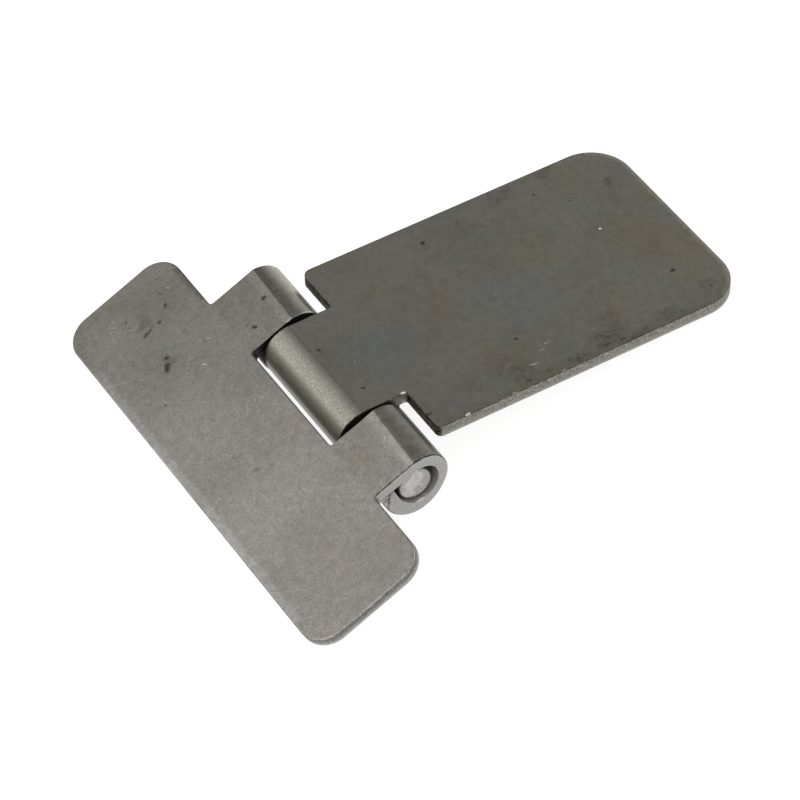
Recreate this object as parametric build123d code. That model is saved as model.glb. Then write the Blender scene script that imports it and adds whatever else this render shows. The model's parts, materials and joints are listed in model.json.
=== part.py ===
from build123d import *
import os
from math import acos, asin, atan2, cos, degrees, hypot, radians, sin

# A weld-on tee hinge: a wide cross leaf, a long strap leaf and the pin that joins them.
# Each leaf is blanked from flat steel, and its tabs are rolled round the pin into closed knuckles.
# All sizes are in millimetres.

# Stock and the rolled knuckle
plate = 3.0
pin_diameter = 8.0
pin_clearance = 0.4  # between the pin and the flat above it, and the curl below it
bore_width = 10.4  # inside the curl, from side to side
crown_outer = 5.7  # the tighter outer radius from the flat into the curl
crease_turn = 17.0  # degrees by which the flat breaks at the crease, where the crown begins
crease_radius = 1.0  # of the sharp bend at the crease
seam_gap = 0.15  # between the end of the curl and the flat that it closes on

# Knuckles along the pin
knuckle_span = 69.0  # over both outer knuckles
middle_knuckle = 31.2
knuckle_gap = 1.1  # at each end of the middle knuckle
pin_recess = 1.1  # from an outer knuckle's end to the pin's end
pin_end_chamfer = 0.25

# Cross leaf
bar_width = 110.0
bar_depth = 29.8
bar_clearance = 0.35  # from the curl to the bar's inner edge
bar_corner = 6.4
tab_corner = 0.8
cross_die_roll = 0.35  # rounding that blanking leaves on the flush side

# Strap leaf
strap_width = 57.0
strap_length = 79.7
shoulder_clearance = 1.2  # from the curl to the strap's shoulders
strap_corner = 10.0
shoulder_corner = 1.5
neck_corner = 0.5
strap_edge_break = 0.4  # on the knuckle side, because the strap was blanked the other way up

# A leaf's own frame: the pin lies along Y through the origin, the leaf runs towards -X,
# and its flush face looks along +Z. From the crease the strip goes down the crown, round the wider curl
# below the pin and up to the flat again.
underside = pin_diameter / 2 + pin_clearance
face = underside + plate
curl_inner = bore_width / 2
curl_outer = curl_inner + plate
curl_height = curl_inner - underside
crown_inner = crown_outer - plate
crown_middle = curl_outer - crown_outer  # the crown's centre, past the pin's axis
crown_inner_height = underside - crown_inner
crease_out = sin(radians(crease_turn))
crease_up = cos(radians(crease_turn))
crease_height = face - crease_radius
crease_start = crown_middle + (crown_outer - crease_radius) * crease_out
crease_stop = (crease_start + crease_radius * crease_out, crease_height + crease_radius * crease_up)
crown_height = crease_height - (crown_outer - crease_radius) * crease_up
curl_end = underside - seam_gap

notch = middle_knuckle + 2 * knuckle_gap
outer_knuckle = (knuckle_span - notch) / 2
outer_knuckle_middle = (knuckle_span - outer_knuckle) / 2
bar_inner_edge = curl_outer + bar_clearance
bar_outer_edge = bar_inner_edge + bar_depth
shoulder_edge = curl_outer + shoulder_clearance
strap_end = shoulder_edge + strap_length

# At rest the hinge lies knuckles down: the outer knuckles and both leaves' far lower edges touch the table.
curl_drop = underside - curl_height
cross_droop = degrees(atan2(curl_drop, bar_outer_edge) + asin(curl_outer / hypot(bar_outer_edge, curl_drop)))
pin_height = curl_outer - curl_height * cos(radians(cross_droop))
tip_reach = strap_end - strap_edge_break
strap_droop = degrees(acos(-pin_height / hypot(tip_reach, underside)) - atan2(tip_reach, underside))

tolerance = 1e-4


def same(a, b):
    """Whether two lengths agree."""
    return abs(a - b) < tolerance


def span(x_low, x_high, width, middle=0):
    """A rectangle in plan, between two places along X and centred at a place along the pin."""
    return Pos((x_low + x_high) / 2, middle) * Rectangle(x_high - x_low, width)


def flat_blank(outline, corners):
    """The flat of a leaf, from its outline and the corners to round, as pairs of a radius and a test."""
    for radius, chosen in corners:
        outline = fillet([v for v in outline.vertices() if chosen(v)], radius)
    return Pos(0, 0, underside) * extrude(outline, plate)


def curl_section():
    """The rolled part of the strip: from the end of the flat, round the pin and up to the seam."""
    with BuildSketch(Plane.XZ) as section:
        with BuildLine():
            Polyline((crown_middle, underside), (crown_middle, face), (crease_start, face))
            RadiusArc((crease_start, face), crease_stop, crease_radius)
            RadiusArc(crease_stop, (curl_outer, crown_height), crown_outer)
            Line((curl_outer, crown_height), (curl_outer, curl_height))
            ThreePointArc(
                (curl_outer, curl_height), (0, curl_height - curl_outer), (-curl_outer, curl_height)
            )
            Polyline(
                (-curl_outer, curl_height),
                (-curl_outer, curl_end),
                (-curl_inner, curl_end),
                (-curl_inner, curl_height),
            )
            ThreePointArc(
                (-curl_inner, curl_height), (0, curl_height - curl_inner), (curl_inner, curl_height)
            )
            Line((curl_inner, curl_height), (curl_inner, crown_inner_height))
            RadiusArc((curl_inner, crown_inner_height), (crown_middle, underside), -crown_inner)
        make_face()
    return section.sketch


def rolled_knuckle(length, middle=0):
    """One knuckle's curl, of a given length and centred at a place along the pin."""
    return Pos(0, middle, 0) * extrude(curl_section(), length / 2, both=True)


class StripSide:
    """One side of the strip: the height of its flat, the radius of its curl and the bends between the two."""

    def __init__(self, flat, curl, *bends):
        """Takes each bend as its centre's X and Z and its radius, in order from the flat."""
        self.flat = flat
        self.curl = curl
        self.bends = bends

    def holds(self, point):
        """Whether a point lies on this side."""
        if same(point.Z, self.flat):
            return point.X < self.bends[0][0] + tolerance
        if point.Z < curl_height:
            return same(hypot(point.X, point.Z - curl_height), self.curl)
        if same(abs(point.X), self.curl):
            return point.Z < curl_end + tolerance
        for x, z, radius in self.bends:
            if point.X > x and point.Z > z and same(hypot(point.X - x, point.Z - z), radius):
                return True
        return False

    def rim(self, leaf):
        """The edges of a leaf round this side, without the lines where its curvature changes."""
        edges = [edge for edge in leaf.edges() if all(self.holds(edge @ place) for place in (0, 0.5, 1))]
        return [edge for edge in edges if not self.changes_curvature(edge)]

    def changes_curvature(self, edge):
        """Whether an edge runs along the pin and is neither the flat's edge nor the strip's end."""
        middle = edge @ 0.5
        outermost = middle.X < 0 and (same(middle.Z, self.flat) or same(middle.Z, curl_end))
        return same(abs((edge % 0.5).Y), 1) and not outermost


flush_side = StripSide(
    face,
    curl_outer,
    (crease_start, crease_height, crease_radius),
    (crown_middle, crown_height, crown_outer),
)
knuckle_side = StripSide(underside, curl_inner, (crown_middle, crown_inner_height, crown_inner))


def make_cross_leaf():
    """The wide leaf, with an outer knuckle at each side of its notch."""
    places = (-outer_knuckle_middle, outer_knuckle_middle)
    outline = span(-bar_outer_edge, -bar_inner_edge, bar_width)
    for place in places:
        outline += span(-bar_inner_edge, crown_middle, outer_knuckle, place)
    corners = [
        (bar_corner, lambda v: same(abs(v.Y), bar_width / 2)),
        (tab_corner, lambda v: same(v.X, -bar_inner_edge) and abs(v.Y) < knuckle_span / 2 + tolerance),
    ]
    leaf = flat_blank(outline, corners)
    for place in places:
        leaf += rolled_knuckle(outer_knuckle, place)
    return fillet(flush_side.rim(leaf), cross_die_roll)


def make_strap_leaf():
    """The long leaf, with the middle knuckle on a neck between its shoulders."""
    outline = span(-strap_end, -shoulder_edge, strap_width)
    outline += span(-shoulder_edge, crown_middle, middle_knuckle)
    corners = [
        (strap_corner, lambda v: same(v.X, -strap_end)),
        (shoulder_corner, lambda v: same(v.X, -shoulder_edge) and same(abs(v.Y), strap_width / 2)),
        (neck_corner, lambda v: same(v.X, -shoulder_edge) and same(abs(v.Y), middle_knuckle / 2)),
    ]
    leaf = flat_blank(outline, corners) + rolled_knuckle(middle_knuckle)
    return chamfer(knuckle_side.rim(leaf), strap_edge_break)


def make_hinge_pin():
    """The plain round pin, its ends chamfered and set back inside the outer knuckles."""
    pin = Rot(90, 0, 0) * Cylinder(pin_diameter / 2, knuckle_span - 2 * pin_recess)
    return chamfer(pin.edges().filter_by(GeomType.CIRCLE), pin_end_chamfer)


leaf_poses = {"cross_leaf": Rot(0, -cross_droop, 0), "strap_leaf": Rot(0, strap_droop, 0) * Rot(0, 0, 180)}
nodes = {
    "cross_leaf": leaf_poses["cross_leaf"] * make_cross_leaf(),
    "strap_leaf": leaf_poses["strap_leaf"] * make_strap_leaf(),
    "hinge_pin": make_hinge_pin(),
}

# The origin is on the table, below the middle of the hinge's box.
box = Compound(list(nodes.values())).bounding_box()
to_origin = Pos(-box.center().X, 0, pin_height)

os.makedirs("parts", exist_ok=True)
for name, solid in nodes.items():
    export_step(to_origin * solid, f"parts/{name}.step")

print("droop of the cross leaf and the strap leaf:", round(cross_droop, 4), round(strap_droop, 4))
print("pin axis from the origin, X and Z:", round(-box.center().X, 4), round(pin_height, 4))
print("lowest point above the table:", round(box.min.Z + pin_height, 5))
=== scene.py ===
"""The looks of a weld-on tee hinge: two leaves of rolled steel plate and the pin that joins them.

Each leaf is made as its maker makes it: a flat blank is cut, its rims are rounded and its tabs are rolled
round the pin. The mesh keeps the place of every point on the flat blank in an attribute named "strip", and
its distance from the cut edge in one named "rim". Both are in millimetres, so that scratches, stains and
torn edges follow the steel.
"""
import bisect
import json
import logging
import math
from abc import ABC, abstractmethod
from dataclasses import dataclass, field
from enum import Enum, IntEnum
from functools import cached_property, reduce
from typing import Any, Iterable, Sequence

import bmesh
import bpy
from mathutils import Matrix, Vector, kdtree, noise


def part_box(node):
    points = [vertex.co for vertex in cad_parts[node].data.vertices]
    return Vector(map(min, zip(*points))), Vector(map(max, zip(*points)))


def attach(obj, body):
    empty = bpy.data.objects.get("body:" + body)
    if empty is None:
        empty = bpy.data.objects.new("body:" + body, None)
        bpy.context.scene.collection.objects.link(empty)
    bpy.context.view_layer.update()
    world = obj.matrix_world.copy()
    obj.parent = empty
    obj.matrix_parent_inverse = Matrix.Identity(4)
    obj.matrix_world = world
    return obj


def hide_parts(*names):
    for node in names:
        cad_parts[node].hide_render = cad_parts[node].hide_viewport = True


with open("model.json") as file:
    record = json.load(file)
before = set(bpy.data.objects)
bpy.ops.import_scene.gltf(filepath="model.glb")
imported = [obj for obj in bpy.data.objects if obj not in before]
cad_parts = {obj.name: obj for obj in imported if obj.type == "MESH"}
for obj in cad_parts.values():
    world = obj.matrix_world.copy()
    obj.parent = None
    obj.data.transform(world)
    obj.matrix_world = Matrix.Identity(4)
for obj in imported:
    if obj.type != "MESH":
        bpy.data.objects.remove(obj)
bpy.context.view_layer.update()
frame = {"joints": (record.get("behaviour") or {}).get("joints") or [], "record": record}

MM = 0.001
STRIP = "strip"
RIM = "rim"

Colour = tuple[float, float, float]
Point = tuple[float, float]
Socket = bpy.types.NodeSocket
Feed = Socket | float | Sequence[float]
Zones = tuple[tuple[float, Colour], ...]

# Within this height, in millimetres, a point lies on a side of the flat blank.
LEVEL = 1e-5
# A face of the flat blank whose normal rises less than this is a cut edge.
CUT_EDGE = 0.25
# How far apart the points of the outline are, in millimetres, to which the way to the rim is measured.
RIM_STEP = 0.1
# Points of a mesh that are nearer than this, in millimetres, are taken as one.
MERGE = 1e-4
# A rounded corner of a blank has this many steps, and one more for each millimetre of its radius.
CORNER_STEPS = 6
# A rim that is rounded by no more than this, in millimetres, has half the usual steps.
SMALL_ROUND = 0.2
# How far beyond its limits a band or a line on the steel fades, in millimetres.
SOFT = 0.3
# Faces that meet at more than this angle keep a sharp edge.
SHARP = math.radians(38.0)

# Tones that the finishes share
# The colour of bright bare steel, and of the painted highlights inside the knuckles.
BRIGHT_STEEL_AND_GLINT: Colour = (0.95, 0.94, 0.92)
LIGHT_SCRATCH: Colour = (1.65, 1.64, 1.61)
DEEP_SCRATCH: Colour = (0.58, 0.57, 0.55)
TORN_DASH: Colour = (0.3, 0.29, 0.27)
CRACK: Colour = (0.24, 0.23, 0.21)

# The kinds of scratch: the greatest length and the width, in millimetres, and how many of the places have one
LIGHT_LINES = ((12.0, 0.1, 0.25), (4.0, 0.11, 0.2), (1.4, 0.15, 0.13))
DEEP_LINES = ((3.5, 0.13, 0.22), (1.3, 0.18, 0.2))

log = logging.getLogger("tee_hinge")


class Body(Enum):
    """The bodies that the pieces ride on."""

    CROSS = "cross"
    STRAP = "strap"


class Surface(IntEnum):
    """The kinds of surface on a leaf, in the order of its material slots."""

    SKIN = 0
    SHEARED = 1
    BORE = 2


class Graph:
    """A node tree, with short calls for the nodes that the finishes share."""

    def __init__(self, tree: bpy.types.NodeTree) -> None:
        """Takes over the node tree of a material or a world, and empties it."""
        self.tree = tree
        tree.nodes.clear()

    def feed(self, socket: Socket, value: Feed) -> None:
        """Links a socket to an input, or sets the input to a constant.

        Args:
            socket: The input socket.
            value: An output socket, a number, a vector or a colour.
        """
        if isinstance(value, bpy.types.NodeSocket):
            self.tree.links.new(value, socket)
        elif socket.type == "RGBA":
            socket.default_value = (*value, 1.0)
        else:
            socket.default_value = value

    def node(self, kind: str, inputs: dict[Any, Feed] | None = None, **settings: Any) -> bpy.types.Node:
        """Adds a node.

        Args:
            kind: The node's type name.
            inputs: What to feed, by the name or the number of the input.
            **settings: The node's own settings.

        Returns:
            The new node.
        """
        made = self.tree.nodes.new(kind)
        for name, value in settings.items():
            setattr(made, name, value)
        for key, value in (inputs or {}).items():
            self.feed(made.inputs[key], value)
        return made

    def attribute(self, name: str, output: str) -> Socket:
        """One output of a mesh attribute, by its name."""
        return self.node("ShaderNodeAttribute", attribute_name=name).outputs[output]

    def blank(self, seed: float) -> tuple[Socket, Socket]:
        """The place on the flat blank, and the same moved by a seed."""
        strip = self.attribute(STRIP, "Vector")
        return strip, self.moved(strip, (seed, 2 * seed, 0))

    def math(self, operation: str, *values: Feed, clamp: bool = False) -> Socket:
        """One number worked out from others, and kept between 0 and 1 if asked."""
        inputs = dict(enumerate(values))
        return self.node("ShaderNodeMath", inputs, operation=operation, use_clamp=clamp).outputs[0]

    def product(self, *values: Feed) -> Socket:
        """The product of several numbers."""
        return reduce(lambda result, value: self.math("MULTIPLY", result, value), values)

    def swayed(self, base: Feed, pattern: Socket, reach: float, clamp: bool = False) -> Socket:
        """A number moved up and down by a pattern about 0.5."""
        return self.math("MULTIPLY_ADD", self.math("SUBTRACT", pattern, 0.5), reach, base, clamp=clamp)

    def vector(self, operation: str, *values: Feed) -> Socket:
        """A vector worked out from others, or a number where the operation gives one."""
        made = self.node("ShaderNodeVectorMath", dict(enumerate(values)), operation=operation)
        return made.outputs["Value" if operation in ("LENGTH", "DOT_PRODUCT") else "Vector"]

    def split(self, vector: Socket) -> tuple[Socket, Socket, Socket]:
        """The three parts of a vector."""
        parts = self.node("ShaderNodeSeparateXYZ", {0: vector}).outputs
        return parts[0], parts[1], parts[2]

    def moved(self, vector: Socket, location: Sequence[float], scale: Sequence[float] = (1, 1, 1)) -> Socket:
        """The coordinates of a pattern that is moved, and squeezed along each axis."""
        inputs = {"Vector": vector, "Location": location, "Scale": scale}
        return self.node("ShaderNodeMapping", inputs).outputs[0]

    def noise(self, vector: Socket, scale: float, detail: float = 2.0, roughness: float = 0.5) -> Socket:
        """Cloudy noise, mostly between 0.3 and 0.7, with a number of clouds to a millimetre."""
        inputs = {"Vector": vector, "Scale": scale, "Detail": detail, "Roughness": roughness}
        return self.node("ShaderNodeTexNoise", inputs).outputs[0]

    def warped(self, vector: Socket, scale: float, reach: float) -> Socket:
        """Shifts coordinates about at random, so that what is drawn with them gets a ragged outline.

        Args:
            vector: The coordinates.
            scale: How many ripples there are to a millimetre.
            reach: How far a point moves at most, in millimetres.

        Returns:
            The new coordinates.
        """
        inputs = {"Vector": vector, "Scale": scale, "Detail": 3.0}
        ripples = self.node("ShaderNodeTexNoise", inputs).outputs["Color"]
        centred = self.vector("SUBTRACT", ripples, (0.5, 0.5, 0.5))
        return self.vector("MULTIPLY_ADD", centred, (2 * reach,) * 3, vector)

    def fit(self, value: Feed, low: float, high: float, to_low: float = 0.0, to_high: float = 1.0) -> Socket:
        """Maps a range of numbers to another, smoothly and held at its ends."""
        inputs = {"Value": value, "From Min": low, "From Max": high, "To Min": to_low, "To Max": to_high}
        return self.node("ShaderNodeMapRange", inputs, interpolation_type="SMOOTHSTEP").outputs[0]

    def between(self, value: Feed, start: float, full: float, fade: float, stop: float) -> Socket:
        """A share that rises smoothly from 0 at the start to 1, and falls to 0 again."""
        return self.product(self.fit(value, start, full), self.fit(value, fade, stop, 1.0, 0.0))

    def within(self, value: Feed, low: float, high: float) -> Socket:
        """A share that is 1 between two limits and fades just beyond them."""
        return self.between(value, low - SOFT, low, high, high + SOFT)

    def spots(self, vector: Socket, marks: Iterable["Mark"], full: float, fade: float) -> Feed:
        """Marks with soft outlines.

        Args:
            vector: The coordinates that they are drawn with.
            marks: The marks.
            full: How far from its middle a mark is at full strength, in units of its size.
            fade: How far from its middle it has faded.

        Returns:
            A mask of the marks.
        """
        found: Feed = 0.0
        for mark in marks:
            scale = (mark.size * mark.stretch, mark.size, 1e6)
            inputs = {"Vector": vector, "Location": (mark.x, mark.y, 0), "Scale": scale}
            inputs["Rotation"] = (0, 0, math.radians(mark.turn))
            local = self.node("ShaderNodeMapping", inputs, vector_type="TEXTURE").outputs[0]
            share = self.fit(self.vector("LENGTH", local), full, fade, mark.share, 0.0)
            found = self.math("MAXIMUM", found, share)
        return found

    def mix(self, share: Feed, first: Feed, second: Feed, blend: str = "MIX") -> Socket:
        """Two colours mixed, with a share of the second."""
        inputs = {0: share, 6: first, 7: second}
        return self.node("ShaderNodeMix", inputs, data_type="RGBA", blend_type=blend).outputs[2]

    def toned(self, share: Feed, colour: Feed, tone: Colour) -> Socket:
        """A colour multiplied by a share of a tone."""
        return self.mix(share, colour, tone, "MULTIPLY")

    def grey(self, value: Socket) -> Socket:
        """A number as a grey colour."""
        return self.node("ShaderNodeCombineColor", {0: value, 1: value, 2: value}).outputs[0]

    def shaded(self, colour: Feed, shade: Socket) -> Socket:
        """A colour made darker or lighter by a number."""
        return self.mix(1.0, colour, self.grey(shade), "MULTIPLY")

    def ramp(self, value: Socket, stops: Iterable[tuple[float, Colour]]) -> Socket:
        """Turns a number into a colour.

        Args:
            value: The number, from 0 to 1.
            stops: Places from 0 to 1 and their colours, in order.

        Returns:
            The colour.
        """
        made = self.node("ShaderNodeValToRGB", {0: value})
        elements = made.color_ramp.elements
        for index, (place, colour) in enumerate(stops):
            element = elements[index] if index < 2 else elements.new(place)
            element.position = place
            element.color = (*colour, 1.0)
        return made.outputs[0]

    def hairlines(self, vector: Socket, cell: float, width: float, chance: float) -> Socket:
        """Fine straight scratches in every direction, one to a cell of a random mosaic.

        Args:
            vector: The coordinates of the pattern.
            cell: The size of a cell, which is the greatest length of a scratch.
            width: The width of a scratch.
            chance: How many of the cells hold one, from 0 to 1.

        Returns:
            A mask of the scratches.
        """
        inputs = {"Vector": vector, "Scale": 1.0 / cell}
        mosaic = self.node("ShaderNodeTexVoronoi", inputs, voronoi_dimensions="2D")
        draw = self.node("ShaderNodeSeparateColor", {0: mosaic.outputs["Color"]}).outputs
        offset = self.vector("SUBTRACT", vector, mosaic.outputs["Position"])
        inputs = {"Vector": offset, "Angle": self.math("MULTIPLY", draw[0], math.pi)}
        turned = self.node("ShaderNodeVectorRotate", inputs, rotation_type="Z_AXIS")
        along, across, _ = self.split(turned.outputs[0])
        bow = self.math("MULTIPLY", self.math("POWER", along, 2.0), 0.02 / cell)
        off_line = self.math("ABSOLUTE", self.math("ADD", across, bow))
        reach = self.math("MULTIPLY", draw[1], 0.6 * cell)
        inside = self.math("SUBTRACT", reach, self.math("ABSOLUTE", along))
        return self.product(
            self.fit(off_line, 0.35 * width, width, 1.0, 0.0),
            self.fit(inside, 0.0, 0.12 * cell),
            self.math("LESS_THAN", draw[2], chance),
        )

    def finish(self, colour: Feed, metallic: Feed, roughness: Feed, height: Socket, relief: float) -> None:
        """Ends a material's nodes with its shader.

        Args:
            colour: The base colour.
            metallic: How metallic it is.
            roughness: How rough it is.
            height: The height of its fine relief, about 0 to 1.
            relief: What a height of 1 comes to, in millimetres.
        """
        bump = self.node("ShaderNodeBump", {"Strength": 1.0, "Distance": relief * MM, "Height": height})
        inputs = {"Base Color": colour, "Metallic": metallic, "Roughness": roughness}
        inputs["Normal"] = bump.outputs[0]
        shader = self.node("ShaderNodeBsdfPrincipled", inputs)
        self.node("ShaderNodeOutputMaterial", {0: shader.outputs[0]})


def new_material(name: str) -> tuple[bpy.types.Material, Graph]:
    """A new material and its empty nodes.

    Args:
        name: The material's name.

    Returns:
        The material and the graph to build it with.
    """
    material = bpy.data.materials.new(name)
    material.use_nodes = True
    return material, Graph(material.node_tree)


@dataclass(frozen=True)
class Mark:
    """A mark on a leaf, round or drawn out. Places and sizes are in millimetres on the flat blank."""

    x: float  # its place along the strip, from the pin's axis
    y: float  # its place along the pin
    size: float  # its half width
    share: float  # how strongly it covers the steel, from 0 to 1
    stretch: float = 1.0  # how much longer it is than wide
    turn: float = 0.0  # the direction of its length, in degrees from the strip's


@dataclass(frozen=True)
class Stain:
    """Soft-edged patches of one tint."""

    tint: Colour  # their colour
    marks: tuple[Mark, ...]  # where they lie
    speckled: float = 0.0  # how far they are broken up into specks, from 0 to 1


@dataclass(frozen=True)
class Tinge:
    """A tint that comes and goes in soft patches all over the steel."""

    tone: Colour  # what the colour is multiplied by
    scale: float  # how many patches there are to a millimetre
    share: float  # how strongly it shows, from 0 to 1


@dataclass(frozen=True)
class Band:
    """A band across the strip whose tone paints the light and shade on a knuckle's curve."""

    start: float  # where it begins, in millimetres along the strip
    full: float  # where it is fully there
    fade: float  # where it begins to fade
    stop: float  # where it ends
    tone: Colour  # what the colour is multiplied by
    grit: float  # how grainy it is, from 0 to 1
    dull: float = 0.0  # how much rougher it is than clean skin
    near: float = -60.0  # the lowest place along the pin that has it
    far: float = 60.0  # the highest place along the pin that has it


@dataclass(frozen=True)
class RimLine:
    """A line of changed tone along the cut edge."""

    width: float  # its width, in millimetres from the edge
    low: float  # the lowest place along the strip that has it
    high: float  # the highest place along the strip that has it
    tone: Colour  # what the colour is multiplied by
    broken: float  # how broken it is, from 0 to 1
    near: float = -60.0  # the lowest place along the pin that has it
    far: float = 60.0  # the highest place along the pin that has it
    solid: float = 0.6  # how much of its width is at full strength, from 0 to 1


@dataclass(frozen=True, kw_only=True)
class SkinFinish:
    """The rolled surface of the plate: satin steel with handling scratches, stains and marks, and painted
    light and shade.
    """

    name: str  # the material's name
    pale: Colour  # the lighter tone of the steel
    deep: Colour  # the darker tone of the steel
    roughness: float  # the roughness of clean skin
    grain: float  # how strongly the fine grain shows
    cloud: float  # how strongly the soft clouds show
    scratch: float  # how strongly the scratches show
    seed: float  # where the patterns are taken from
    shade_gradient_end: float = 55.0  # the place along the pin towards which the leaf is painted darker, for light that falls off that way
    painted_shade_tone: float = 1.0  # the tone of that painted shade there
    painted_light_tone: float = 1.0  # the painted tone at the other, better lit end
    mark: Colour  # the colour of dark marks
    fleck: Colour  # the colour of light marks
    tint_end: float  # the place along the strip where tints and stains have faded
    tinges: tuple[Tinge, ...]  # the tints that come and go
    stains: tuple[Stain, ...]  # the soft patches
    bands: tuple[Band, ...]  # the bands of painted light and shade across the strip
    rims: tuple[RimLine, ...]  # the lines along the cut edge
    blots: tuple[Mark, ...]  # the dark marks
    flecks: tuple[Mark, ...]  # the light marks

    def tones(self, graph: Graph, strip: Socket, place: Socket) -> Socket:
        """The steel's broad tones, with its stains and a painted fall-off of light along the pin.

        Args:
            graph: The material's nodes.
            strip: The place on the flat blank.
            place: The same, moved by the seed.

        Returns:
            The colour.
        """
        clouds = graph.fit(graph.noise(place, 0.06, 4.0, 0.6), 0.3, 0.7)
        colour = graph.mix(clouds, self.deep, self.pale)
        along, across, _ = graph.split(strip)
        tinted = graph.fit(along, self.tint_end - 1.5, self.tint_end, 1.0, 0.0)
        for index, tinge in enumerate(self.tinges):
            patches = graph.noise(graph.moved(place, (23 * index, 41, 0)), tinge.scale, 4.0, 0.62)
            share = graph.product(graph.fit(patches, 0.44, 0.66, 0.0, tinge.share), tinted)
            colour = graph.toned(share, colour, tinge.tone)
        loose = graph.warped(graph.warped(strip, 0.12, 5.0), 0.7, 0.8)
        specks = graph.noise(place, 0.8, 6.0, 0.85)
        for stain in self.stains:
            found = graph.spots(loose, stain.marks, 0.3, 1.3)
            share = graph.product(found, graph.fit(specks, 0.42, 0.58, 1.0 - stain.speckled, 1.0), tinted)
            colour = graph.mix(share, colour, stain.tint)
        # Painted light and shade: lighter towards one end along the pin and darker towards the other, for
        # light that falls off along the leaf.
        painted_light_gradient = graph.fit(across, -0.7 * self.shade_gradient_end, self.shade_gradient_end, self.painted_light_tone, self.painted_shade_tone)
        return graph.shaded(colour, painted_light_gradient)

    def painted_bands_and_rim_lines(self, graph: Graph, colour: Socket, strip: Socket, place: Socket) -> tuple[Socket, Feed]:
        """Paints the light and shade of the knuckles' curves in bands across the strip, and adds the lines at
        its rim.

        Args:
            graph: The material's nodes.
            colour: The colour so far.
            strip: The place on the flat blank.
            place: The same, moved by the seed.

        Returns:
            The new colour, and how much rougher the skin is.
        """
        along, across, _ = graph.split(graph.warped(strip, 0.4, 0.12))
        grit = graph.noise(place, 2.3, 4.0, 0.8)
        dull: Feed = 0.0
        # Painted light and shade: each band makes the colour lighter or darker where a knuckle's curve turns
        # towards or away from the light, and may make it rougher.
        for band in self.bands:
            inside = graph.product(
                graph.between(along, band.start, band.full, band.fade, band.stop),
                graph.within(across, band.near, band.far),
            )
            dull = graph.math("MULTIPLY_ADD", inside, band.dull, dull)
            share = graph.product(inside, graph.fit(grit, 0.38, 0.62, 1.0 - band.grit, 1.0))
            colour = graph.toned(share, colour, band.tone)
        rim = graph.swayed(graph.attribute(RIM, "Fac"), grit, 0.9)
        chips = graph.noise(graph.moved(place, (11, 3, 0)), 1.3, 3.0, 0.6)
        # Lines along the cut edge that make it lighter and darker; the tables say which paint highlights and
        # shade.
        for line in self.rims:
            share = graph.product(
                graph.fit(rim, line.solid * line.width, line.width, 1.0, 0.0),
                graph.fit(chips, 0.42, 0.52, 1.0 - line.broken, 1.0),
                graph.within(along, line.low, line.high),
                graph.within(across, line.near, line.far),
            )
            colour = graph.toned(share, colour, line.tone)
        return colour, dull

    def mask(self, graph: Graph, strip: Socket, marks: tuple[Mark, ...]) -> Socket:
        """Several small marks with ragged outlines, on the flush side alone.

        Args:
            graph: The material's nodes.
            strip: The place on the flat blank.
            marks: The marks.

        Returns:
            A mask of the marks.
        """
        ragged = graph.warped(graph.warped(strip, 0.8, 0.6), 2.4, 0.3)
        found = graph.spots(ragged, marks, 0.4, 1.4)
        crumbled = graph.fit(graph.noise(strip, 1.9, 3.0, 0.7), 0.36, 0.5, 0.45, 1.0)
        flush = graph.fit(graph.split(strip)[2], 1.0, 2.0, 1.0, 0.0)
        return graph.product(found, crumbled, flush)

    def lines(self, graph: Graph, place: Socket, kinds: Iterable[tuple[float, float, float]]) -> Socket:
        """Scratches of several lengths.

        Args:
            graph: The material's nodes.
            place: The coordinates of the pattern.
            kinds: The greatest length, the width and the chance of each kind of scratch.

        Returns:
            A mask of the scratches.
        """
        found: Feed = 0.0
        for index, (length, width, chance) in enumerate(kinds):
            pattern = graph.hairlines(graph.moved(place, (31 * index, 17 * index, 0)), length, width, chance)
            found = graph.math("MAXIMUM", found, pattern)
        return found

    def make(self) -> bpy.types.Material:
        """Builds the material.

        Returns:
            The material.
        """
        material, graph = new_material(self.name)
        strip, place = graph.blank(self.seed)
        colour, dull = self.painted_bands_and_rim_lines(graph, self.tones(graph, strip, place), strip, place)

        grain = graph.noise(place, 1.7, 6.0, 0.85)
        cloud = graph.noise(place, 0.5, 4.0, 0.6)
        colour = graph.shaded(colour, graph.fit(grain, 0.28, 0.72, 1.0 - self.grain, 1.0 + self.grain))
        colour = graph.shaded(colour, graph.fit(cloud, 0.28, 0.72, 1.0 - self.cloud, 1.0 + self.cloud))

        worn = graph.fit(graph.noise(place, 0.12, 2.0), 0.35, 0.62, 0.3, 1.0)
        light = self.lines(graph, place, LIGHT_LINES)
        deep = self.lines(graph, graph.moved(place, (53, 29, 0)), DEEP_LINES)
        colour = graph.toned(graph.product(light, worn, self.scratch), colour, LIGHT_SCRATCH)
        colour = graph.toned(graph.product(deep, worn, self.scratch), colour, DEEP_SCRATCH)

        blots = self.mask(graph, strip, self.blots)
        colour = graph.mix(blots, colour, self.mark)
        flecks = self.mask(graph, strip, self.flecks)
        colour = graph.mix(flecks, colour, self.fleck)

        rough = graph.swayed(graph.swayed(self.roughness, cloud, 0.15), grain, 0.2)
        rough = graph.math("ADD", rough, dull)
        rough = graph.math("MULTIPLY_ADD", blots, 0.15, rough, clamp=True)
        relief = graph.math("MULTIPLY_ADD", light, -0.6, grain)
        graph.finish(colour, graph.math("SUBTRACT", 1.0, flecks), rough, relief, 0.006)
        return material


@dataclass(frozen=True)
class ShadedSeat:
    """A cut edge that another part sits close to, painted dark for the shade that falls there, with chipped
    specks on it.
    """

    along: float  # its place along the strip
    outward: float  # the least distance from the middle of the leaf at which it is dull
    tone: float  # the tone of that painted shade
    chip: Colour  # the colour of chipped specks on it


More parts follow.
